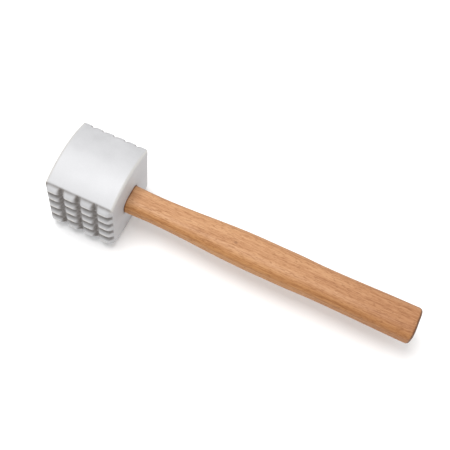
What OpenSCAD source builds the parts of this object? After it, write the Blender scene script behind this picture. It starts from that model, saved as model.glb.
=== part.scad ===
// Two-faced meat mallet: a cast head with pyramid teeth on both striking faces,
// and a wooden handle wedged through an eye in the head.
// +X runs along the handle from the head to the butt, the striking faces look along -Y and +Y,
// and +Z is up as the mallet lies on the belly of its head. Millimetres.

/* [Overall] */
// Length from the head's end face to the butt
overall_l = 330; // [290:1:380]

/* [Head] */
// Width of the head along the handle
head_w = 63; // [55:0.5:75]
// Height of each toothed face
face_h = 63; // [55:0.5:75]
// Length of the head between the two planes of tooth tips
head_l = 73.6; // [64:0.2:90]
// How far the top and the belly arch above the height of the toothed faces
arch_rise = 7.5; // [4:0.5:10]
// Width of the narrow flat along the crown of the top and of the belly
crown_flat = 18; // [16:1:24]

/* [Coarse face] */
// Columns of teeth across the width of the head
coarse_columns = 4; // [3:1:5]
// Rows of teeth up the face
coarse_rows = 5; // [4:1:6]
// Depth of the grooves between the teeth
coarse_depth = 5; // [3:0.5:6]
// Width of the blunt tip of a tooth
coarse_tip_w = 8; // [5:0.5:9]
// Height of the blunt tip of a tooth
coarse_tip_h = 3; // [1:0.5:5]

/* [Fine face] */
// Columns of teeth across the width of the head
fine_columns = 6; // [5:1:7]
// Rows of teeth up the face
fine_rows = 7; // [6:1:8]
// Depth of the grooves between the teeth
fine_depth = 3.5; // [2:0.5:4]
// Width of the blunt tip of a tooth
fine_tip_w = 5; // [3:0.5:6]
// Height of the blunt tip of a tooth
fine_tip_h = 2; // [1:0.5:3]

/* [Handle] */
// Width of the tenon and its eye, along the striking direction
tenon_w = 24.4; // [22:0.2:26]
// Width at the narrowest place, just behind the head
neck_w = 23.8; // [22:0.2:26]
// Width at the swell of the grip
grip_w = 30.8; // [27:0.2:34]
// Width at the slight waist behind the grip
waist_w = 29.6; // [26:0.2:33]
// Width at the butt
butt_w = 31.6; // [28:0.2:35]
// Height of every section, as a share of its width
section_aspect = 0.8; // [0.7:0.05:0.9]
// Corner radius of every section, as a share of its width
section_corner = 0.32; // [0.2:0.02:0.34]
// Rounding of the edge around the butt
butt_round = 3.5; // [1:0.5:5]

/* [Wedges] */
// Depth of the saw cut in the tenon
kerf_depth = 44; // [30:1:50]
// Width of the saw cut once the wedge has opened it
kerf_mouth = 4; // [2:0.5:5]
// Width of the bottom of the saw cut
kerf_root = 1; // [0.5:0.1:1.5]
// Length of the steel cross wedge
steel_l = 20; // [14:1:26]
// Width of the steel cross wedge
steel_w = 14; // [10:1:17]
// Thickness of the steel cross wedge at its head
steel_t = 2.4; // [1.5:0.1:3]
// Thickness of the steel cross wedge at its edge
steel_edge = 0.6; // [0.4:0.1:0.8]

/* [Hidden] */
$fn = 96;

// Distance that a cutter runs past the surface it cuts
past = 2;

// Planes across the handle
end_x = -overall_l / 2;
shoulder_x = end_x + head_w;
butt_x = overall_l / 2;
head_x = (end_x + shoulder_x) / 2;

// The handle's axis runs at half the height of the arched head
head_h = face_h + 2 * arch_rise;
axis_z = head_h / 2;

// The arch runs out on the outermost flanks, this far inside the edges of the toothed faces
arch_bite = 0.3;

// The arch is a circle through the crown flat's edges, whose centre lies below where it meets the root planes
root_half = (head_l - coarse_depth - fine_depth) / 2;
bow = arch_rise + arch_bite;
arch_drop = (root_half * root_half - bow * bow - crown_flat * crown_flat / 4) / (2 * bow);
arch_r = sqrt(root_half * root_half + arch_drop * arch_drop);
arch_centre_z = face_h / 2 - arch_bite - arch_drop;

// Stations of the handle: distance behind the head, and width there
grip_l = butt_x - shoulder_x;
stations = [
    [0, tenon_w],
    [0.08 * grip_l, neck_w],
    [0.45 * grip_l, grip_w],
    [0.56 * grip_l, grip_w],
    [0.67 * grip_l, waist_w],
    [grip_l, butt_w],
];

// Rings of the handle's surface, and points in each quarter of a ring
grip_rings = 26;
round_rings = 5;
corner_steps = 7;

// ---- shapes shared by the sub-parts ----

// Rounded rectangle centred on the origin
module rounded_section(w, h, r) {
    square([w - 2 * r, h], center = true);
    square([w, h - 2 * r], center = true);
    for (sx = [-1, 1], sy = [-1, 1])
        translate([sx * (w / 2 - r), sy * (h / 2 - r)])
            circle(r);
}

// Section of the tenon, standing in the YZ plane and extruded along +X
module tenon_bar(length) {
    rotate([90, 0, 90])
        linear_extrude(length)
            rounded_section(tenon_w, section_aspect * tenon_w, section_corner * tenon_w);
}

// Places everything that belongs to the handle's axis
module on_axis(x) {
    translate([x, 0, axis_z])
        children();
}

// Outline of one V groove, pointing down to a root at the origin, cut in from height depth
module groove_outline(pitch, tip, depth) {
    half = (pitch - tip) / 2 * (depth + past) / depth;
    polygon([[0, 0], [half, depth + past], [-half, depth + past]]);
}

// Grooves that leave blunt pyramids on a face in the XY plane whose tips are at z = depth
module tooth_grooves(columns, rows, depth, tip_w, tip_h) {
    column_pitch = head_w / columns;
    row_pitch = face_h / rows;
    for (i = [0:columns])
        translate([i * column_pitch - head_w / 2, face_h / 2 + 2 * past, 0])
            rotate([90, 0, 0])
                linear_extrude(face_h + 4 * past)
                    groove_outline(column_pitch, tip_w, depth);
    for (j = [0:rows])
        translate([-head_w / 2 - past, j * row_pitch - face_h / 2, 0])
            rotate([90, 0, 90])
                linear_extrude(head_w + 2 * past)
                    groove_outline(row_pitch, tip_h, depth);
}

// Outline of a wedge in the XY plane, wide at x = 0, whose taper runs on for a lead before that
module wedge_outline(length, wide, narrow, lead = 0) {
    lead_w = wide + (wide - narrow) * lead / length;
    polygon([[-lead, -lead_w / 2], [length, -narrow / 2], [length, narrow / 2], [-lead, lead_w / 2]]);
}

// ---- head ----

// Barrel shape: a block whose top and belly are arcs along the striking direction, flat at the crown
module head_barrel() {
    rotate([90, 0, 90])
        translate([0, 0, -head_w / 2])
            linear_extrude(head_w)
                intersection() {
                    square([head_l, head_h], center = true);
                    arch_disc(1);
                    arch_disc(-1);
                }
}

// Disc whose edge is the top arch (side 1) or the belly (side -1)
module arch_disc(side) {
    mid_y = (coarse_depth - fine_depth) / 2;
    translate([mid_y, side * arch_centre_z])
        circle(arch_r);
}

module head() {
    color("lightgray")
        on_axis(head_x)
            difference() {
                head_barrel();
                translate([0, coarse_depth - head_l / 2, 0])
                    rotate([90, 0, 0])
                        tooth_grooves(coarse_columns, coarse_rows, coarse_depth, coarse_tip_w, coarse_tip_h);
                translate([0, head_l / 2 - fine_depth, 0])
                    rotate([-90, 0, 0])
                        tooth_grooves(fine_columns, fine_rows, fine_depth, fine_tip_w, fine_tip_h);
                translate([-head_w / 2 - past, 0, 0])
                    tenon_bar(head_w + 2 * past);
            }
}

// ---- wedges ----

// Space of the saw cut, which runs along the long side of the tenon
module kerf_space() {
    on_axis(end_x)
        rotate([90, 0, 0])
            translate([0, 0, -tenon_w / 2 - past])
                linear_extrude(tenon_w + 2 * past)
                    wedge_outline(kerf_depth, kerf_mouth, kerf_root, past);
}

// Space of the steel wedge, which crosses the wooden one
module steel_wedge_space(lead = 0) {
    on_axis(end_x)
        translate([0, 0, -steel_w / 2])
            linear_extrude(steel_w)
                wedge_outline(steel_l, steel_t, steel_edge, lead);
}

module wood_wedge() {
    color("burlywood")
        difference() {
            intersection() {
                kerf_space();
                on_axis(end_x)
                    tenon_bar(head_w);
            }
            steel_wedge_space(past);
        }
}

module steel_wedge() {
    color("slategray")
        steel_wedge_space();
}

// ---- handle ----

// Smooth step from 0 to 1
function ease(t) = (1 - cos(180 * t)) / 2;

// Width of the handle at a distance behind the head, which is negative in the eye
function width_at(d, i = 0) =
    d <= 0 ? tenon_w
    : d > stations[i + 1][0] ? width_at(d, i + 1)
    : stations[i][1] + (stations[i + 1][1] - stations[i][1])
        * ease((d - stations[i][0]) / (stations[i + 1][0] - stations[i][0]));

// How far the section draws in at a distance from the butt, to round its edge
function draw_in(e) = e >= butt_round ? 0 : butt_round - sqrt(butt_round * butt_round - pow(butt_round - e, 2));

// Points around a rounded section of half sizes hw and hh, at x
function ring(x, hw, hh, r) = [
    for (q = [0:3], k = [0:corner_steps])
        let (
            a = 90 * (q + k / corner_steps),
            sy = q == 0 || q == 3 ? 1 : -1,
            sz = q < 2 ? 1 : -1
        )
        [x, sy * (hw - r) + r * cos(a), sz * (hh - r) + r * sin(a)]
];

// Ring at a distance behind the head
function ring_at(d) =
    let (
        w = width_at(d),
        inset = draw_in(grip_l - d),
        r = section_corner * w
    )
    ring(shoulder_x + d, w / 2 - inset, section_aspect * w / 2 - inset, r - inset);

// Distances of the rings behind the head: the tenon's end, the grip, and the rounded edge of the butt
function ring_distances() = [
    -head_w,
    for (i = [0:grip_rings]) (grip_l - butt_round) * i / grip_rings,
    for (i = [1:round_rings]) grip_l - butt_round * (1 - sin(90 * i / round_rings)),
];

// Tenon and grip as one swept surface
module handle_blank() {
    distances = ring_distances();
    last = len(distances) - 1;
    n = 4 * (corner_steps + 1);
    points = [for (d = distances) each ring_at(d)];
    sides = [
        for (i = [0:last - 1], k = [0:n - 1])
            let (
                a = i * n + k,
                b = i * n + (k + 1) % n
            )
            each [[a, b + n, b], [a, a + n, b + n]]
    ];
    tenon_end = [[for (k = [0:n - 1]) k]];
    butt_end = [[for (k = [n - 1:-1:0]) last * n + k]];
    translate([0, 0, axis_z])
        polyhedron(points, concat(sides, tenon_end, butt_end));
}

module handle() {
    color("peru")
        difference() {
            handle_blank();
            kerf_space();
            steel_wedge_space(past);
        }
}

head();
handle();
wood_wedge();
steel_wedge();
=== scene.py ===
"""Meat mallet: a two-faced cast head wedged on a contoured wooden handle.

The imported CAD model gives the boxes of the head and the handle. The other sizes are those of the CAD
source, with the casting's roundings added. The script builds the head with its cast edges and teeth,
the shaped handle and the two wedges in mesh code, and gives each a procedural finish.
Metres. +X runs from the head to the butt, the faces look along -Y and +Y, and Z is up.
"""

import math
from dataclasses import dataclass

import bmesh
import bpy
import numpy as np
from mathutils import Matrix, Vector


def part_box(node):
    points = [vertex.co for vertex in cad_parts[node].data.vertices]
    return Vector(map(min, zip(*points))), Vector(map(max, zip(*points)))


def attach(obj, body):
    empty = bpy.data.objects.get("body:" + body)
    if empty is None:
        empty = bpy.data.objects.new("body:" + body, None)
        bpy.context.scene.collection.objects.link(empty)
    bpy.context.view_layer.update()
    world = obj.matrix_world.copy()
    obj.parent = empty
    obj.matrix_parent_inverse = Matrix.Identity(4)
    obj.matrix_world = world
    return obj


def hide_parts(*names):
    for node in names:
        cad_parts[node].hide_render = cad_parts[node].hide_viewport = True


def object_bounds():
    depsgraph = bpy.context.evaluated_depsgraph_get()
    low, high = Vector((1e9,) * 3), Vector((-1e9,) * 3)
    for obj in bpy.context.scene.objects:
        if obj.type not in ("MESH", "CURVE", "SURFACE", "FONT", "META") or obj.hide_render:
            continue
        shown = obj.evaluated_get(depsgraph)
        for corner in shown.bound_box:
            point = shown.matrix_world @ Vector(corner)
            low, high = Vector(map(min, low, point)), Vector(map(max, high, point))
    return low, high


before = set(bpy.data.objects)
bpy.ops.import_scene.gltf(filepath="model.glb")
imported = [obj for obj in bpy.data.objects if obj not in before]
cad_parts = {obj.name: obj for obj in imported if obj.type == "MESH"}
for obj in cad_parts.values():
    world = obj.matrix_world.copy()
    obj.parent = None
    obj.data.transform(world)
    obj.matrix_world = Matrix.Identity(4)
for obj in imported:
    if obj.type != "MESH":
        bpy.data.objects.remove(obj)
cad_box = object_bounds()
MM = 0.001

# ---- sizes ----

head_lo, head_hi = (np.array(corner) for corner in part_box("head"))
handle_lo, handle_hi = (np.array(corner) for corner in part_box("handle"))
HEAD_X, _, AXIS_Z = (head_lo + head_hi) / 2
HALF_W, HALF_L, _ = (head_hi - head_lo) / 2
SHOULDER_X = head_hi[0]
END_X, BUTT_X = handle_lo[0], handle_hi[0]


@dataclass
class Teeth:
    """One toothed face: its side along Y, its teeth, the blunt tips they end in, its lip, and the painted
    shade and grime along its outer rows.
    """

    side: int
    columns: int
    rows: int
    depth: float
    tip_w: float
    tip_h: float
    rounding: float
    lip: float
    lip_inset: float
    rim_shade_and_grime: float

    @property
    def root_y(self):
        """Where the grooves' roots lie, from the head's middle."""
        return self.side * (HALF_L - self.depth)


COARSE = Teeth(
    side=-1,
    columns=4,
    rows=5,
    depth=5 * MM,
    tip_w=8 * MM,
    tip_h=3 * MM,
    rounding=0.40,
    lip=0.8 * MM,
    lip_inset=0.2 * MM,
    rim_shade_and_grime=0.75,
)
FINE = Teeth(
    side=1,
    columns=6,
    rows=7,
    depth=3.5 * MM,
    tip_w=5 * MM,
    tip_h=2 * MM,
    rounding=0.45,
    lip=2.0 * MM,
    lip_inset=0.35 * MM,
    rim_shade_and_grime=0.2,
)
FACE_H = 63 * MM
ARCH_RISE = 7.5 * MM
ARCH_BITE = 0.3 * MM

TENON_W = 24.4 * MM
NECK_W = 23.8 * MM
GRIP_W = 30.8 * MM
WAIST_W = 29.6 * MM
BUTT_W = 31.6 * MM
SECTION_ASPECT = 0.8
SECTION_CORNER = 0.32
BUTT_ROUND = 3.5 * MM

KERF_DEPTH = 44 * MM
KERF_MOUTH = 4 * MM
KERF_ROOT = 1 * MM
STEEL_L = 20 * MM
STEEL_W = 14 * MM
STEEL_T = 2.4 * MM
STEEL_EDGE = 0.6 * MM

# ---- mesh helpers ----

WELD = 1e-6

# Edges that turn by more than this are shaded sharp
SMOOTH_ANGLE = math.radians(40)
CAST_SMOOTH_ANGLE = math.radians(60)
WEDGE_SMOOTH_ANGLE = math.radians(30)


def shade(bm, smooth_angle):
    """Shades a mesh smooth, apart from edges that turn by more than an angle."""
    for face in bm.faces:
        face.smooth = True
    for edge in bm.edges:
        edge.smooth = edge.calc_face_angle(0) < smooth_angle


def link_object(name, data):
    """An object with that data, in the scene."""
    obj = bpy.data.objects.new(name, data)
    bpy.context.scene.collection.objects.link(obj)
    return obj


def make_object(name, points, faces, smooth_angle=SMOOTH_ANGLE):
    """A welded mesh object with outward normals, shaded smooth up to an angle."""
    mesh = bpy.data.meshes.new(name)
    mesh.from_pydata(np.asarray(points).tolist(), [], faces)
    bm = bmesh.new()
    bm.from_mesh(mesh)
    bmesh.ops.remove_doubles(bm, verts=bm.verts, dist=WELD)
    bmesh.ops.recalc_face_normals(bm, faces=bm.faces)
    shade(bm, smooth_angle)
    bm.to_mesh(mesh)
    bm.free()
    return link_object(name, mesh)


def grid_faces(rows, columns, start=0, wrap=False):
    """Quads over a grid of rows x columns points; wrap joins the last column to the first."""
    width = columns if wrap else columns - 1
    r, c = np.meshgrid(np.arange(rows - 1), np.arange(width), indexing="ij")
    a = r * columns + c
    b = r * columns + (c + 1) % columns
    return (start + np.stack([a, b, b + columns, a + columns], -1).reshape(-1, 4)).tolist()


def closed_tube(name, rings):
    """An object whose surface runs through rings of points, with a flat face at each end."""
    rows, columns, _ = rings.shape
    ends = [list(range(columns)), list(range((rows - 1) * columns, rows * columns))]
    return make_object(name, rings.reshape(-1, 3), grid_faces(rows, columns, wrap=True) + ends)


def apply_modifiers(obj):
    """Replaces an object's mesh with the result of its modifiers."""
    depsgraph = bpy.context.evaluated_depsgraph_get()
    mesh = bpy.data.meshes.new_from_object(obj.evaluated_get(depsgraph), depsgraph=depsgraph)
    obj.modifiers.clear()
    old, obj.data = obj.data, mesh
    bpy.data.meshes.remove(old)


def cut(obj, cutters, operation="DIFFERENCE"):
    """Cuts obj with each cutter by an exact Boolean, and removes the cutters."""
    for cutter in cutters:
        modifier = obj.modifiers.new("cut", "BOOLEAN")
        modifier.operation, modifier.solver, modifier.object = operation, "EXACT", cutter
        apply_modifiers(obj)
        bpy.data.objects.remove(cutter)
    bm = bmesh.new()
    bm.from_mesh(obj.data)
    shade(bm, SMOOTH_ANGLE)
    bm.to_mesh(obj.data)
    bm.free()


def vertex_places(obj):
    """The places of an object's vertices, one row each."""
    places = np.zeros(len(obj.data.vertices) * 3)
    obj.data.vertices.foreach_get("co", places)
    return places.reshape(-1, 3)


def mark(obj, name, values):
    """Stores one value for each vertex, which a material can read by name."""
    obj.data.attributes.new(name, "FLOAT", "POINT").data.foreach_set("value", values)


def smooth_min(a, b, blend):
    """The lesser of a and b, rounded where they meet."""
    return np.minimum(a, b) - np.maximum(blend - np.abs(a - b), 0) ** 2 / (4 * blend)


def fade(value, full, none):
    """A smooth step from 1 at full to 0 at none."""
    t = np.clip((value - none) / (full - none), 0, 1)
    return t * t * (3 - 2 * t)


# Directions of the three waves that waves() adds up, and how far a seed shifts each
WAVE_DIRECTIONS = np.array([(1, 0.31, 0), (0, 0.83, -0.42), (0.29, 0, 0.77)])
WAVE_SHIFTS = np.array([1, 2.1, 3.7])


def waves(p, length, seed):
    """A smooth field from 0 to 1 that rises and falls over about that length."""
    phase = 2 * math.pi / length * (p @ WAVE_DIRECTIONS.T) + seed * WAVE_SHIFTS
    return (1 + np.sin(phase).mean(-1)) / 2


# Steps around an outline from which section_points() measures its length
OUTLINE_STEPS = 4000


def section_points(width, height, radius, count):
    """Points around a rounded rectangle in (y, z), evenly spaced, starting at the middle of +Y."""
    hw, hh = width / 2 - radius, height / 2 - radius
    angle = np.linspace(0, 2 * math.pi, OUTLINE_STEPS, endpoint=False)
    y = np.sign(np.cos(angle)) * hw + radius * np.cos(angle)
    z = np.sign(np.sin(angle)) * hh + radius * np.sin(angle)
    start = np.array([width / 2, 0.0])
    loop = np.vstack([start, np.stack([y, z], -1), start])
    along = np.append(0, np.cumsum(np.linalg.norm(np.diff(loop, axis=0), axis=1)))
    at = np.linspace(0, along[-1], count, endpoint=False)
    return np.stack([np.interp(at, along, loop[:, i]) for i in (0, 1)], -1)


# ---- head ----

# The arch is a circle through the crown, run out just inside the toothed faces' edges
MID_Y = (COARSE.root_y + FINE.root_y) / 2
ROOT_HALF = (FINE.root_y - COARSE.root_y) / 2
BOW = ARCH_RISE + ARCH_BITE
ARCH_DROP = (ROOT_HALF**2 - BOW**2) / (2 * BOW)
ARCH_R = math.hypot(ROOT_HALF, ARCH_DROP)
ARCH_CENTRE = FACE_H / 2 - ARCH_BITE - ARCH_DROP

# Rounding of the head's long edges
EDGE_R = 3 * MM

# Powers that keep a lip's inset close to the outline, and the teeth's relief close to their face
INSET_SHARPNESS = 24
LIP_SHARPNESS = 20

# Roundings of a groove's root and of a tooth's corners, and the gain that makes up for the first
ROOT_ROUNDING = 0.1
ROOT_GAIN = 1.05
CORNER_ROUNDING = 0.16

# Steps of the head's lattice, rings on an end face, and how they crowd towards its edge
HEAD_NX, HEAD_NY, HEAD_NZ = 144, 60, 140
END_RINGS = 22
END_CROWDING = 1.6

# How much wider the eye is at its mouth, as a share, and how that runs out with depth to the head's middle
EYE_FLARE = 0.8 * MM / (TENON_W / 2)
EYE_EDGE = ((0.25 * MM, 0.55), (0.8 * MM, 0.22), (2.0 * MM, 0.1), (HALF_W, 0.1))

# The casting's unevenness, as (depth, length, seed), outside a distance from the handle's axis
UNEVENNESS = ((0.10 * MM, 46 * MM, 1.3), (0.03 * MM, 9 * MM, 4.1))
EYE_CLEARANCE = 0.62 * TENON_W


def half_height(y):
    """Half the head's height at y, from its arches."""
    return ARCH_CENTRE + np.sqrt(ARCH_R**2 - (y - MID_Y) ** 2)


def between_faces(along):
    """The y of a place that runs from 0 at the coarse face's roots to 1 at the fine face's."""
    return COARSE.root_y + (FINE.root_y - COARSE.root_y) * along


def ramp_height(at, size, count, tip, rounding):
    """Height between parallel V grooves that divide a size, 0 at a root and 1 on the flat between."""
    pitch = size / count
    from_root = np.abs((at + size / 2 + pitch / 2) % pitch - pitch / 2)
    ramp = from_root / ((pitch - tip) / 2)
    soft_root = np.hypot(ramp, ROOT_ROUNDING) - ROOT_ROUNDING
    return smooth_min(soft_root * ROOT_GAIN, 1.0, rounding)


def groove_heights(teeth, x, z):
    """Heights at (x, z) between the grooves that part the columns, and between those of the rows."""
    across = ramp_height(x, 2 * HALF_W, teeth.columns, teeth.tip_w, teeth.rounding)
    up = ramp_height(z, FACE_H, teeth.rows, teeth.tip_h, teeth.rounding)
    return across, up


def soften(x, y, z, tall):
    """Rounds the head's long edges, and draws its outline in at the lip of each toothed face."""
    qx = np.clip(x, EDGE_R - HALF_W, HALF_W - EDGE_R)
    qz = np.clip(z, EDGE_R - tall, tall - EDGE_R)
    vx, vz = x - qx, z - qz
    most = np.maximum(np.abs(vx), np.abs(vz))
    length = np.hypot(vx, vz)
    share = np.where(length > 0, most / np.where(length > 0, length, 1), 1)
    x, z = qx + vx * share, qz + vz * share
    inset = 0
    for teeth in (COARSE, FINE):
        near = 1 - np.clip(teeth.side * (teeth.root_y - y) / teeth.lip, 0, 1)
        inset = inset + teeth.lip_inset * (1 - np.sqrt(1 - near**2))
    rim = np.maximum(np.abs(x) / HALF_W, np.abs(z) / tall) ** INSET_SHARPNESS
    return x * (1 - inset * rim / HALF_W), z * (1 - inset * rim / tall)


def tooth_surface(teeth, x, share):
    """A toothed face at x and a share of its half height: softened x and z, and how far it stands out."""
    tall = half_height(teeth.root_y)
    x, z = soften(x, teeth.root_y, share * tall, tall)
    across, up = groove_heights(teeth, x, z)
    return x, z, teeth.depth * smooth_min(across, up, CORNER_ROUNDING)


def wall(x, share, along):
    """Points of the head's four walls: x, share of the half height, and place from -Y to +Y."""
    y = between_faces(along)
    tall = half_height(y)
    sx, sz = soften(x, y, share * tall, tall)
    for teeth, near in ((FINE, along), (COARSE, 1 - along)):
        _, _, out = tooth_surface(teeth, x, share)
        y = y + teeth.side * near**LIP_SHARPNESS * out
    return np.stack([sx, y, sz], -1)


def head_lattice(values):
    """A grid of x across the head by the given values."""
    return np.meshgrid(np.linspace(-HALF_W, HALF_W, HEAD_NX + 1), values, indexing="ij")


def toothed_face(teeth):
    """The grid of one toothed face."""
    x, share = head_lattice(np.linspace(-1, 1, HEAD_NZ + 1))
    x, z, out = tooth_surface(teeth, x, share)
    return np.stack([x, teeth.root_y + teeth.side * out, z], -1)


def arch_face(side):
    """The grid of the top (side 1) or the belly (side -1)."""
    x, along = head_lattice(np.linspace(0, 1, HEAD_NY + 1))
    return wall(x, np.full_like(x, side), along)


def end_outline():
    """The loop around an end face from the middle of +Y: share of the half height, and place in Y."""
    up = np.linspace(0, 1, HEAD_NZ // 2 + 1)[:-1]
    back = np.linspace(1, 0, HEAD_NY + 1)[:-1]
    down = np.linspace(1, -1, HEAD_NZ + 1)[:-1]
    rise = np.linspace(-1, 0, HEAD_NZ // 2 + 1)[:-1]
    share = np.concatenate([up, np.ones_like(back), down, -np.ones_like(back), rise])
    along = np.concatenate(
        [np.ones_like(up), back, np.zeros_like(down), 1 - back, np.ones_like(rise)]
    )
    return share, along


def eye_outline(outer):
    """Points of the eye's outline in (y, z), each in the direction of the outer one with its number."""
    eye = section_points(TENON_W, SECTION_ASPECT * TENON_W, SECTION_CORNER * TENON_W, len(outer))
    turn = 2 * math.pi
    eye_angles = np.append(np.arctan2(eye[:, 1], eye[:, 0]) % turn, turn)
    eye = np.vstack([eye, eye[:1]])
    angles = np.arctan2(outer[:, 1], outer[:, 0]) % turn
    return np.stack([np.interp(angles, eye_angles, eye[:, i]) for i in (0, 1)], -1)


def end_face(side):
    """Rings of an end face, from the head's outline in to the eye, and on through half the eye."""
    share, along = end_outline()
    outer_y = between_faces(along)
    outer = np.stack([outer_y, share * half_height(outer_y)], -1)
    inner = eye_outline(outer)
    x = np.full(len(share), side * HALF_W)
    rings = [wall(x, share, along)]
    for t in np.linspace(0, 1, END_RINGS + 1)[1:] ** END_CROWDING:
        y, z = (outer * (1 - t) + inner * (1 + EYE_FLARE) * t).T
        tall = half_height(y)
        sx, sz = soften(x, y, np.clip(z, -tall, tall), tall)
        rings.append(np.stack([sx, y, sz], -1))
    for depth, flare in EYE_EDGE:
        y, z = (inner * (1 + flare * EYE_FLARE)).T
        rings.append(np.stack([x - side * depth, y, z], -1))
    return np.array(rings)


def cast_head():
    """The head: two toothed faces, two arches, and two end faces joined through the eye."""
    patches = [(toothed_face(teeth), False) for teeth in (COARSE, FINE)]
    patches += [(arch_face(side), False) for side in (1, -1)]
    patches += [(end_face(side), True) for side in (-1, 1)]
    points, faces, start = [], [], 0
    for patch, wrap in patches:
        rows, columns, _ = patch.shape
        points.append(patch.reshape(-1, 3))
        faces += grid_faces(rows, columns, start, wrap)
        start += rows * columns
    p = np.vstack(points)
    outside_eye = np.linalg.norm(p[:, 1:], axis=1) > EYE_CLEARANCE
    draw_in = outside_eye * sum(depth * waves(p, length, seed) for depth, length, seed in UNEVENNESS)
    p *= 1 - draw_in[:, None] / HALF_W
    return make_object("cast_head", p + (HEAD_X, 0, AXIS_Z), faces, CAST_SMOOTH_ANGLE)


# Wear of the plain skin, that up a tooth's flank, the height of its tip, and the reach of an edge's wear
PLAIN_WEAR = 0.5
FOOT_WEAR, FLANK_WEAR, FLANK_BEND = 0.15, 0.7, 1.5
FOOT_HEIGHT, TIP_HEIGHT = 0.02, 0.93
EDGE_REACH = 1.6 * EDGE_R

# Heights up a flank at which its painted shade and grime are full, and at which they are gone
OUTER_ROW_SHADE_AND_GRIME = (0.05, 0.50)
ROW_SHADE_AND_GRIME = (0.30, 0.95)
END_SHADE_AND_GRIME = (0.3, 1.0)
COLUMN_SHADE_AND_GRIME = (0.35, 1.05)

# Shares of painted shade and grime in the rows, and on the outermost flanks, with less shade painted on
# the handle's side, where the outermost flank has no column beside it
ROW_SHARE = 0.9
FAR_END_SHARE, HANDLE_END_SHARE = 1.0, 0.2

# How far out from the grooves' roots a place counts as face, in full and not at all
FACE_REACH = (0.1 * MM, -0.4 * MM)


def head_wear(p):
    """Wear at points of the head: 0.5 on its plain skin, and up to 1 on tips and outer edges."""
    wear = np.full(len(p), PLAIN_WEAR)
    for teeth in (COARSE, FINE):
        height = (teeth.side * p[:, 1] - abs(teeth.root_y)) / teeth.depth
        flank = FOOT_WEAR + FLANK_WEAR * np.clip(height, 0, 1) ** FLANK_BEND
        wear = np.where(height > FOOT_HEIGHT, flank, wear)
        wear = np.where(height > TIP_HEIGHT, 1.0, wear)
    tall = half_height(np.clip(p[:, 1], COARSE.root_y, FINE.root_y))
    in_x, in_z = HALF_W - np.abs(p[:, 0]), tall - np.abs(p[:, 2])
    on_edge = np.clip(1 - np.maximum(in_x, in_z) / EDGE_REACH, 0, 1)
    on_edge *= np.minimum(in_x, in_z) < EDGE_R
    return np.maximum(wear, PLAIN_WEAR + (1 - PLAIN_WEAR) * on_edge)


def groove_shade_and_grime(p):
    """Share of painted shade and grime at points of the head: the column grooves' flanks, and the foot of
    each row, where shade falls.
    """
    shade_and_grime = np.zeros(len(p))
    for teeth in (COARSE, FINE):
        across, up = groove_heights(teeth, p[:, 0], p[:, 2])
        outer = np.abs(p[:, 2]) > FACE_H / 2 - (FACE_H / teeth.rows - teeth.tip_h) / 2
        at_end = np.abs(p[:, 0]) > HALF_W - (2 * HALF_W / teeth.columns - teeth.tip_w) / 2
        end_share = np.where(p[:, 0] > 0, HANDLE_END_SHARE, FAR_END_SHARE)
        outer_rows = teeth.rim_shade_and_grime * fade(up, *OUTER_ROW_SHADE_AND_GRIME)
        rows = np.where(outer, outer_rows, ROW_SHARE * fade(up, *ROW_SHADE_AND_GRIME))
        columns = np.where(at_end, end_share * fade(across, *END_SHADE_AND_GRIME), fade(across, *COLUMN_SHADE_AND_GRIME))
        on_face = fade(teeth.side * p[:, 1] - abs(teeth.root_y), *FACE_REACH)
        shade_and_grime = np.maximum(shade_and_grime, on_face * np.maximum(rows, columns))
    return shade_and_grime


# ---- handle ----

GRIP_L = BUTT_X - SHOULDER_X
STATIONS = (
    (0, TENON_W),
    (0.08 * GRIP_L, NECK_W),
    (0.45 * GRIP_L, GRIP_W),
    (0.56 * GRIP_L, GRIP_W),
    (0.67 * GRIP_L, WAIST_W),
    (GRIP_L, BUTT_W),
)
LEAST_CORNER = 0.4 * MM
RING_POINTS = 96
GRIP_RINGS = 150
TENON_RINGS = 24
ROUND_RINGS = 10
CAP_RINGS = 10

# The grip's faint unevenness, which starts behind the shoulder and is stretched along the handle
RUB_DEPTH, RUB_LENGTH, RUB_SEED = 0.12 * MM, 21 * MM, 2.7
RUB_STRETCH = (0.35, 1, 1)
RUB_START, RUB_LEAD = 2 * MM, 20 * MM

# The share of the tenon's section that the wooden wedge keeps to, and how far its space runs out
CORE_SHARE = 0.996
CORE_LEAD = 1 * MM


def width_at(d):
    """The handle's width at a distance behind the head, which is negative in the eye."""
    for (d0, w0), (d1, w1) in zip(STATIONS, STATIONS[1:]):
        if d0 < d <= d1:
            return w0 + (w1 - w0) * (1 - math.cos(math.pi * (d - d0) / (d1 - d0))) / 2
    return TENON_W


def handle_ring(d, inset=0.0):
    """One ring around the handle's axis, drawn in by an inset."""
    w = width_at(d)
    corner = max(SECTION_CORNER * w - inset, LEAST_CORNER)
    section = section_points(w - 2 * inset, SECTION_ASPECT * w - 2 * inset, corner, RING_POINTS)
    return np.column_stack([np.full(RING_POINTS, SHOULDER_X + d), section])


def cap(ring):
    """Rings that shrink across a flat end of the handle, towards its middle."""
    middle = ring.mean(0)
    return [middle + (ring - middle) * t for t in np.linspace(1, 0, CAP_RINGS + 1)[1:-1]]


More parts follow.
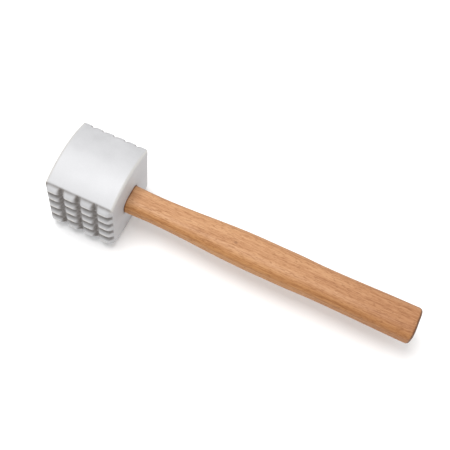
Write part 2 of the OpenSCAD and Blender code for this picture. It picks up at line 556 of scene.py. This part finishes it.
def wooden_handle():
    """Tenon and grip as one swept surface, before its cuts."""
    tenon = [handle_ring(d) for d in np.linspace(-2 * HALF_W, 0, TENON_RINGS + 1)[:-1]]
    grip = [handle_ring(d) for d in np.linspace(0, GRIP_L - BUTT_ROUND, GRIP_RINGS + 1)]
    rim = []
    for a in np.linspace(0, math.pi / 2, ROUND_RINGS + 1)[1:]:
        d = GRIP_L - BUTT_ROUND * (1 - math.sin(a))
        rim.append(handle_ring(d, BUTT_ROUND * (1 - math.cos(a))))
    rings = np.array(cap(tenon[0])[::-1] + tenon + grip + rim + cap(rim[-1]))
    behind = np.clip((rings[..., 0] - SHOULDER_X - RUB_START) / RUB_LEAD, 0, 1)
    rub = RUB_DEPTH * behind * waves(rings * RUB_STRETCH, RUB_LENGTH, RUB_SEED)
    rings[..., 1:] *= 1 - (rub / (TENON_W / 2))[..., None]
    return closed_tube("wooden_handle", rings + (0, 0, AXIS_Z))


def side_share(p):
    """How far points of the handle are from its middle, from 0 to 1 at its two long sides."""
    half = np.array([width_at(d) / 2 for d in p[:, 0] - SHOULDER_X])
    return np.abs(p[:, 1]) / half


def tenon_core(name):
    """The space of the tenon, run out past the end face, that the wooden wedge keeps to."""
    ring = handle_ring(-2 * HALF_W)
    ring[:, 1:] *= CORE_SHARE
    rings = np.array([ring - (CORE_LEAD, 0, 0), ring + (2 * HALF_W, 0, 0)])
    return closed_tube(name, rings + (0, 0, AXIS_Z))


# ---- wedges ----

# Clearance of a wedge in its space, how far a space runs out past the end face, and the steel's edges
WEDGE_GAP = 0.06 * MM
SPACE_LEAD = 2 * MM
STEEL_BEVEL = 0.15 * MM
BEVEL_SEGMENTS = 3


def wedge_prism(name, length, wide, narrow, height, upright, lead):
    """A bar driven in along +X from the end face. Its taper is across Y if upright, else across Z."""
    lead_w = wide + (wide - narrow) * lead / length
    outline = [(-lead, -lead_w / 2), (length, -narrow / 2), (length, narrow / 2), (-lead, lead_w / 2)]
    points = []
    for side in (-0.5, 0.5):
        for along, across in outline:
            y, z = (across, side * height) if upright else (side * height, across)
            points.append((END_X + along, y, AXIS_Z + z))
    sides = [(i, (i + 1) % 4, (i + 1) % 4 + 4, i + 4) for i in range(4)]
    return make_object(name, points, [(0, 1, 2, 3), (4, 5, 6, 7)] + sides, WEDGE_SMOOTH_ANGLE)


def kerf_prism(name, lead=0.0, gap=0.0):
    """The space of the saw cut, or with a gap the wooden wedge in it."""
    wide, narrow = KERF_MOUTH - gap, KERF_ROOT - gap
    return wedge_prism(name, KERF_DEPTH, wide, narrow, 2 * TENON_W, False, lead)


def steel_prism(name, lead=0.0, gap=0.0):
    """The space of the steel wedge, or with a gap the wedge itself."""
    wide, narrow = STEEL_T - gap, STEEL_EDGE - gap
    return wedge_prism(name, STEEL_L, wide, narrow, STEEL_W - gap, True, lead)


def bevel_edges(obj):
    """Takes the sharpness off the edges of the steel wedge."""
    modifier = obj.modifiers.new("edges", "BEVEL")
    modifier.width, modifier.segments = STEEL_BEVEL, BEVEL_SEGMENTS
    apply_modifiers(obj)


# ---- materials ----


class Graph:
    """Short calls that add and link the nodes of one material."""

    def __init__(self, name):
        self.material = bpy.data.materials.new(name)
        self.material.use_nodes = True
        self.tree = self.material.node_tree
        self.shader = self.tree.nodes["Principled BSDF"]

    def node(self, kind, **settings):
        node = self.tree.nodes.new("ShaderNode" + kind)
        for key, value in settings.items():
            setattr(node, key, value)
        return node

    def put(self, target, value):
        """Links an output to a socket, or sets the socket's own value."""
        if isinstance(value, bpy.types.NodeSocket):
            self.tree.links.new(value, target)
        else:
            target.default_value = value

    def math(self, operation, a, b=0.0):
        node = self.node("Math", operation=operation)
        self.put(node.inputs[0], a)
        self.put(node.inputs[1], b)
        return node.outputs[0]

    def times(self, a, b):
        return self.math("MULTIPLY", a, b)

    def add_up(self, *terms):
        total = terms[0]
        for term in terms[1:]:
            total = self.math("ADD", total, term)
        return total

    def position(self, scale=(1, 1, 1), offset=(0, 0, 0)):
        """Object coordinates, in metres, with each axis scaled."""
        mapping = self.node("Mapping")
        self.put(mapping.inputs["Vector"], self.node("TexCoord").outputs["Object"])
        mapping.inputs["Scale"].default_value = scale
        mapping.inputs["Location"].default_value = offset
        return mapping.outputs["Vector"]

    def place_x(self):
        """The object coordinate along the handle."""
        split = self.node("SeparateXYZ")
        self.put(split.inputs[0], self.position())
        return split.outputs["X"]

    def distance(self, vector, point):
        node = self.node("VectorMath", operation="DISTANCE")
        self.put(node.inputs[0], vector)
        node.inputs[1].default_value = point
        return node.outputs["Value"]

    def marked(self, name):
        """The value that mark() stored on the vertices under a name."""
        return self.node("Attribute", attribute_name=name).outputs["Fac"]

    def noise(self, vector, scale=1.0, detail=3.0, rough=0.5):
        node = self.node("TexNoise")
        self.put(node.inputs["Vector"], vector)
        for key, value in (("Scale", scale), ("Detail", detail), ("Roughness", rough)):
            node.inputs[key].default_value = value
        return node.outputs["Fac"]

    def voronoi(self, vector, scale, feature="F1"):
        node = self.node("TexVoronoi", feature=feature)
        self.put(node.inputs["Vector"], vector)
        node.inputs["Scale"].default_value = scale
        return node.outputs["Distance"]

    def map_range(self, value, low, high, to_low=0.0, to_high=1.0):
        node = self.node("MapRange", interpolation_type="SMOOTHSTEP")
        self.put(node.inputs["Value"], value)
        limits = {"From Min": low, "From Max": high, "To Min": to_low, "To Max": to_high}
        for key, number in limits.items():
            node.inputs[key].default_value = number
        return node.outputs["Result"]

    def ramp(self, value, *stops):
        node = self.node("ValToRGB")
        self.put(node.inputs["Fac"], value)
        elements = node.color_ramp.elements
        for at, _ in stops[2:]:
            elements.new(at)
        for element, (at, color) in zip(elements, stops):
            element.position, element.color = at, (*color, 1)
        return node.outputs["Color"]

    def mix(self, share, a, b, blend="MIX"):
        """Mixes the color b into the color a, by a share."""
        node = self.node("Mix", data_type="RGBA", blend_type=blend)
        sockets = [s for s in node.inputs if s.type == "RGBA"]
        self.put(node.inputs[0], share)
        self.put(sockets[0], a)
        self.put(sockets[1], (*b, 1))
        return [s for s in node.outputs if s.type == "RGBA"][0]

    def tint(self, share, color, factors):
        """Multiplies a color by three factors, by a share."""
        return self.mix(share, color, factors, "MULTIPLY")

    def bump(self, height, strength, distance, normal=None):
        node = self.node("Bump")
        self.put(node.inputs["Height"], height)
        node.inputs["Strength"].default_value = strength
        node.inputs["Distance"].default_value = distance
        if normal is not None:
            self.put(node.inputs["Normal"], normal)
        return node.outputs["Normal"]

    def finish(self, color, roughness, normal, **constants):
        self.put(self.shader.inputs["Base Color"], color)
        self.put(self.shader.inputs["Roughness"], roughness)
        self.put(self.shader.inputs["Normal"], normal)
        for key, value in constants.items():
            self.shader.inputs[key].default_value = value
        return self.material


def cast_aluminium():
    """Tumbled cast aluminium: matt, faintly mottled, rubbed on tips and edges, darkened in the grooves by
    painted shade and some grime.
    """
    g = Graph("cast_aluminium")
    where = g.position()
    mottle = g.noise(where, scale=55, detail=4, rough=0.55)
    grain = g.noise(where, scale=1500, detail=3, rough=0.6)
    tone = g.add_up(g.times(mottle, 0.7), g.times(grain, 0.3))
    metal = g.ramp(tone, (0.32, (0.465, 0.465, 0.475)), (0.68, (0.545, 0.545, 0.555)))

    rubbed = g.map_range(g.add_up(g.marked("wear"), g.times(grain, 0.25)), 0.78, 1.15)
    color = g.mix(rubbed, metal, (0.58, 0.56, 0.525))
    # Painted shade and grime darken the grooves, unevenly in patches
    patches = g.map_range(g.noise(where, scale=260, detail=3, rough=0.6), 0.3, 0.6, 0.75, 1.0)
    color = g.tint(g.times(g.marked("shade_and_grime"), patches), color, (0.36, 0.325, 0.295))

    roughness = g.add_up(g.map_range(mottle, 0.3, 0.7, 0.60, 0.70), g.times(rubbed, -0.12))
    swell = g.noise(where, scale=170, detail=2, rough=0.5)
    pits = g.map_range(g.voronoi(where, scale=420), 0.02, 0.16)
    normal = g.bump(swell, 0.35, 0.25 * MM)
    normal = g.bump(pits, 0.18, 0.12 * MM, normal)
    normal = g.bump(grain, 0.30, 0.12 * MM, normal)
    return g.finish(color, roughness, normal, Metallic=0.45)


# The pin knot on top of the grip, how far it is drawn out along the grain, and its size
KNOT = Vector((-1 * MM, -2.5 * MM, AXIS_Z + 11.5 * MM))
KNOT_STRETCH = 0.55
KNOT_CORE, KNOT_EDGE = 0.4 * MM, 1.7 * MM

# The middle of the tree's growth rings, outside the handle, and the number of rings in a metre
PITH = (0, 14 * MM, AXIS_Z - 46 * MM)
RINGS_PER_METRE = 330


def growth_bands(g):
    """Growth bands from 0 to 1, wavy, and drawn out along the handle."""
    drift = g.noise(g.position((5, 60, 60)), detail=2)
    from_pith = g.distance(g.position((0.05, 1, 1)), PITH)
    place = g.add_up(g.times(from_pith, RINGS_PER_METRE), g.times(drift, 2.4))
    return g.times(g.math("PINGPONG", place, 0.5), 2.0)


def grip_wood():
    """Straight-grained hardwood under a satin oil: growth bands, fine streaks, flecks and a pin knot."""
    g = Graph("grip_wood")
    streak = g.noise(g.position((22, 640, 640)), detail=5, rough=0.66)
    fine_streak = g.noise(g.position((130, 1500, 1500)), detail=3, rough=0.6)
    cloud = g.noise(g.position((7, 230, 230), (3, 1, 7)), detail=2)
    tone = g.add_up(
        g.times(growth_bands(g), 0.06),
        g.times(streak, 0.34),
        g.times(fine_streak, 0.44),
        g.times(cloud, 0.18),
    )
    color = g.ramp(
        tone,
        (0.34, (0.25, 0.107, 0.042)),
        (0.45, (0.38, 0.183, 0.083)),
        (0.53, (0.465, 0.243, 0.119)),
        (0.66, (0.545, 0.310, 0.163)),
    )
    fleck_field = g.noise(g.position((260, 1250, 1250), (1, 5, 2)), detail=1, rough=0.4)
    flecks = g.map_range(fleck_field, 0.56, 0.70)
    color = g.mix(g.times(flecks, 0.6), color, (0.27, 0.12, 0.05))

    # Darker towards the butt, and painted shade on the two long sides, which turns them darker and more
    # golden
    x = g.place_x()
    color = g.tint(g.map_range(x, 0, BUTT_X, 0, 0.8), color, (0.80, 0.72, 0.68))
    color = g.tint(g.map_range(g.marked("side"), 0.58, 1.0), color, (0.90, 0.80, 0.56))

    stretch = Vector((KNOT_STRETCH, 1, 1))
    from_knot = g.distance(g.position(stretch), KNOT * stretch)
    color = g.mix(g.map_range(from_knot, KNOT_CORE, KNOT_EDGE, 0.7, 0.0), color, (0.20, 0.09, 0.04))

    # Darker over the butt's rounded end, and a dark line where the handle enters the head
    butt_darkening = g.map_range(x, BUTT_X - 2.6 * MM, BUTT_X - 1.2 * MM, 0, 0.95)
    color = g.tint(butt_darkening, color, (0.34, 0.29, 0.27))
    from_shoulder = g.math("ABSOLUTE", g.math("SUBTRACT", x, SHOULDER_X))
    shoulder = g.map_range(from_shoulder, 0.3 * MM, 1.3 * MM, 0.8, 0)
    color = g.tint(shoulder, color, (0.42, 0.34, 0.30))

    roughness = g.add_up(g.map_range(streak, 0.35, 0.7, 0.50, 0.42), g.times(flecks, 0.12))
    normal = g.bump(streak, 0.25, 0.10 * MM)
    normal = g.bump(g.math("SUBTRACT", fine_streak, flecks), 0.20, 0.08 * MM, normal)
    oil = {"Specular IOR Level": 0.2, "Coat Weight": 0.04, "Coat Roughness": 0.35}
    return g.finish(color, roughness, normal, **oil)


def wedge_wood():
    """Darker sawn hardwood, with its grain along the wedge."""
    g = Graph("wedge_wood")
    streak = g.noise(g.position((30, 900, 900), (2, 2, 2)), detail=5, rough=0.65)
    pore_field = g.noise(g.position((300, 2600, 2600)), detail=1, rough=0.4)
    pores = g.map_range(pore_field, 0.62, 0.72)
    color = g.ramp(
        streak,
        (0.3, (0.20, 0.10, 0.045)),
        (0.55, (0.36, 0.20, 0.095)),
        (0.75, (0.46, 0.27, 0.14)),
    )
    color = g.mix(g.times(pores, 0.6), color, (0.10, 0.05, 0.02))
    normal = g.bump(g.math("SUBTRACT", streak, pores), 0.4, 0.12 * MM)
    return g.finish(color, g.map_range(streak, 0.3, 0.7, 0.75, 0.6), normal)


def wedge_steel():
    """Dull steel with fine draw lines along the wedge, and hammer bruises."""
    g = Graph("wedge_steel")
    lines = g.noise(g.position((60, 3500, 3500)), detail=4, rough=0.6)
    spots = g.noise(g.position(), scale=500, detail=3, rough=0.6)
    tone = g.times(g.add_up(lines, spots), 0.5)
    color = g.ramp(tone, (0.35, (0.26, 0.25, 0.25)), (0.65, (0.50, 0.50, 0.51)))
    bruises = g.voronoi(g.position(), scale=900, feature="SMOOTH_F1")
    normal = g.bump(bruises, 0.5, 0.15 * MM, g.bump(lines, 0.3, 0.05 * MM))
    return g.finish(color, g.map_range(spots, 0.3, 0.7, 0.35, 0.6), normal, Metallic=1.0)


# ---- pieces ----


def dress(obj, node, material):
    """Gives a piece its finish and its place in the frame."""
    obj.data.materials.clear()
    obj.data.materials.append(material)
    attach(obj, "root")
    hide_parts(node)


head = cast_head()
head_places = vertex_places(head) - (HEAD_X, 0, AXIS_Z)
mark(head, "wear", head_wear(head_places))
# Painted shade in the grooves, with some grime
mark(head, "shade_and_grime", groove_shade_and_grime(head_places))
dress(head, "head", cast_aluminium())

handle = wooden_handle()
cut(handle, [kerf_prism("kerf", SPACE_LEAD), steel_prism("slit", SPACE_LEAD)])
# The share across the handle, which sets the painted shade on its long sides
mark(handle, "side", side_share(vertex_places(handle)))
dress(handle, "handle", grip_wood())

wood_wedge = kerf_prism("wood_wedge_piece", gap=WEDGE_GAP)
cut(wood_wedge, [tenon_core("core")], "INTERSECT")
cut(wood_wedge, [steel_prism("slit", SPACE_LEAD)])
dress(wood_wedge, "wood_wedge", wedge_wood())

steel = steel_prism("steel_wedge_piece", gap=WEDGE_GAP)
bevel_edges(steel)
dress(steel, "steel_wedge", wedge_steel())

# ---- stage, light and camera ----

# Half the floor's size, and its gap below the head, which keeps the two surfaces apart
FLOOR_HALF = 6.0
FLOOR_GAP = 0.05 * MM

DOME_STRENGTH = 0.89
LAMP_PLACE, LAMP_AIM = Vector((-0.32, -0.02, 1.5)), Vector((-0.02, 0, 0.03))
LAMP_SIZE, LAMP_POWER = 0.8, 16.2

# Where the camera looks, from which direction and how far, and its lens in millimetres
TARGET = Vector((-17.7 * MM, 14.2 * MM, AXIS_Z))
AZIMUTH, ELEVATION, ROLL = (math.radians(a) for a in (15.24, 63.38, 10.37))
DISTANCE = 780.8 * MM
LENS, SENSOR = 72, 36


def floor():
    """A plain pale floor, level with the underside of the head."""
    bm = bmesh.new()
    bmesh.ops.create_grid(bm, x_segments=1, y_segments=1, size=FLOOR_HALF)
    mesh = bpy.data.meshes.new("floor")
    bm.to_mesh(mesh)
    bm.free()
    obj = link_object("floor", mesh)
    obj.location.z = cad_box[0][2] - FLOOR_GAP
    g = Graph("floor_paper")
    g.shader.inputs["Base Color"].default_value = (0.93, 0.93, 0.93, 1)
    g.shader.inputs["Roughness"].default_value = 0.9
    g.shader.inputs["Specular IOR Level"].default_value = 0.1
    mesh.materials.append(g.material)


def studio():
    """A bright dome and one large soft light overhead."""
    scene = bpy.context.scene
    world = bpy.data.worlds.new("studio")
    scene.world = world
    world.use_nodes = True
    background = world.node_tree.nodes["Background"]
    background.inputs["Color"].default_value = (1, 1, 1, 1)
    background.inputs["Strength"].default_value = DOME_STRENGTH
    scene.view_settings.view_transform = "Standard"
    scene.view_settings.look = "None"

    light = bpy.data.lights.new("overhead", "AREA")
    light.shape, light.size, light.energy = "SQUARE", LAMP_SIZE, LAMP_POWER
    lamp = link_object("overhead", light)
    lamp.location = LAMP_PLACE
    lamp.rotation_euler = (LAMP_AIM - LAMP_PLACE).to_track_quat("-Z", "Y").to_euler()


def camera():
    """The camera, placed by the direction and distance from which it looks at its target."""
    level = Vector((math.cos(AZIMUTH), math.sin(AZIMUTH), 0))
    ahead = Vector((-math.sin(AZIMUTH), math.cos(AZIMUTH), 0))
    forward = ahead * math.cos(ELEVATION) - Vector((0, 0, math.sin(ELEVATION)))
    upright = level.cross(forward)
    right = level * math.cos(ROLL) + upright * math.sin(ROLL)
    up = upright * math.cos(ROLL) - level * math.sin(ROLL)
    data = bpy.data.cameras.new("camera")
    data.lens, data.sensor_width = LENS, SENSOR
    obj = link_object("camera", data)
    turn = Matrix((right, up, -forward)).transposed()
    obj.matrix_world = Matrix.Translation(TARGET - forward * DISTANCE) @ turn.to_4x4()
    bpy.context.scene.camera = obj


floor()
studio()
camera()
